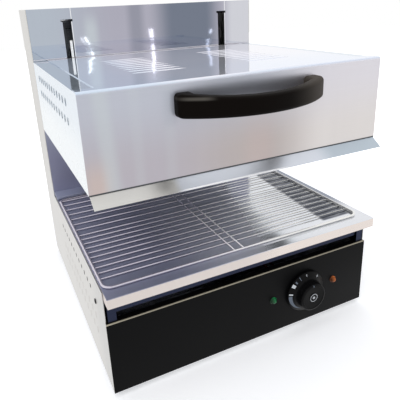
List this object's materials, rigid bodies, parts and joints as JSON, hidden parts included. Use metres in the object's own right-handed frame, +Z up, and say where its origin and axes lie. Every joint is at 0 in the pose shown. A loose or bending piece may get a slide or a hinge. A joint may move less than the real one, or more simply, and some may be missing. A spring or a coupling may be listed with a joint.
{
  "type": "cheese melter",
  "caption": "Counter-top electric cheese melter: a heating head on a rear column slides up and down over a wire rack and pull-out drip tray, with a knob and two lamps on a black front panel.",
  "frame": {"origin": "on the bench, under the middle of the machine's outline from the handle's front to the cord gland's end", "axes": "+Z up; +X to the right seen from the front, -Y out of the front where the knob and handle are"},
  "size_m": [0.453, 0.542, 0.52],
  "materials": {
    "plain_steel": "plain stainless or zinc-coated sheet",
    "cheek_steel": "finely brushed stainless sheet, light",
    "side_steel": "finely brushed stainless sheet, nearly white in the light",
    "hood_steel": "polished stainless sheet",
    "lip_steel": "finely brushed stainless sheet",
    "column_steel": "polished stainless sheet",
    "tray_steel": "polished stainless sheet",
    "bracket_steel": "stainless sheet in shade",
    "arm_steel": "zinc-coated plate",
    "black_paint": "satin black powder coat",
    "handle_plastic": "heat-resistant moulding, satin",
    "black_plastic": "matt moulding",
    "white_plastic": "heat-resistant moulding or ceramic",
    "green_lens": "tinted clear lens",
    "amber_lens": "tinted clear lens",
    "rubber": "matt",
    "screw_steel": "bright zinc",
    "ground_rod": "ground and polished",
    "spring_wire": "plain spring steel",
    "brass": "turned",
    "cast_aluminium": "as machined",
    "element_sheath": "dark oxidised heating sheath",
    "insulation": "mineral-wool blanket",
    "lead_sleeve": "glass-fibre and silicone sleeve",
    "rack_chrome": "bright plated wire"
  },
  "bodies": {
    "base": {"base_pan": "plain_steel", "left_cheek": "cheek_steel", "right_cheek": "cheek_steel", "control_panel": "black_paint", "left_tray_bracket": "bracket_steel", "right_tray_bracket": "bracket_steel", "deck_plate": "bracket_steel", "rear_ledge": "column_steel", "column_panel": "column_steel", "column_cap": "cheek_steel", "rear_cover": "plain_steel", "upper_beam": "plain_steel", "lower_beam": "plain_steel", "left_guide_rod": "ground_rod", "right_guide_rod": "ground_rod", "left_spring": "spring_wire", "right_spring": "spring_wire", "rod_buffers": "rubber", "front_left_foot": "rubber", "front_right_foot": "rubber", "rear_left_foot": "rubber", "rear_right_foot": "rubber", "foot_screws": "screw_steel", "heat_regulator": "white_plastic", "regulator_screws": "screw_steel", "green_lamp": "green_lens", "amber_lamp": "amber_lens", "lamp_housings": "white_plastic", "terminal_block": "white_plastic", "cable_gland": "black_plastic", "gland_locknut": "black_plastic", "cover_screws": "screw_steel", "cheek_screws": "screw_steel", "control_leads": "lead_sleeve"},
    "control_knob": {"knob": "black_plastic", "knob_cap": "black_plastic", "regulator_shaft": "brass"},
    "head": {"head_hood": "hood_steel", "head_left_side": "side_steel", "head_right_side": "side_steel", "head_back": "plain_steel", "head_lip": "lip_steel", "reflector": "plain_steel", "insulation_blanket": "insulation", "front_element": "element_sheath", "rear_element": "element_sheath", "left_element_hanger": "plain_steel", "right_element_hanger": "plain_steel", "handle": "handle_plastic", "handle_screws": "screw_steel", "left_lift_arm": "arm_steel", "right_lift_arm": "arm_steel", "arm_tab_bolts": "screw_steel", "slider_bolts": "screw_steel", "left_slider": "cast_aluminium", "right_slider": "cast_aluminium", "slider_bushes": "brass"},
    "tray": {"drip_tray": "tray_steel"},
    "rack": {"wire_rack": "rack_chrome"}
  },
  "joints": [
    {"name": "head_lift", "type": "slide", "parent": "base", "child": "head", "axis": [0, 0, 1], "range_m": [-0.1, 0.03], "deforming": ["left_spring", "right_spring"]},
    {"name": "knob_turn", "type": "hinge", "parent": "base", "child": "control_knob", "pos_m": [0.099, -0.217, 0.07], "axis": [0, 1, 0], "range_deg": [0, 300]},
    {"name": "tray_slide", "type": "slide", "parent": "base", "child": "tray", "axis": [0, -1, 0], "range_m": [0, 0.33]},
    {"name": "rack_slide", "type": "slide", "parent": "tray", "child": "rack", "axis": [0, -1, 0], "range_m": [0, 0.3]}
  ]
}
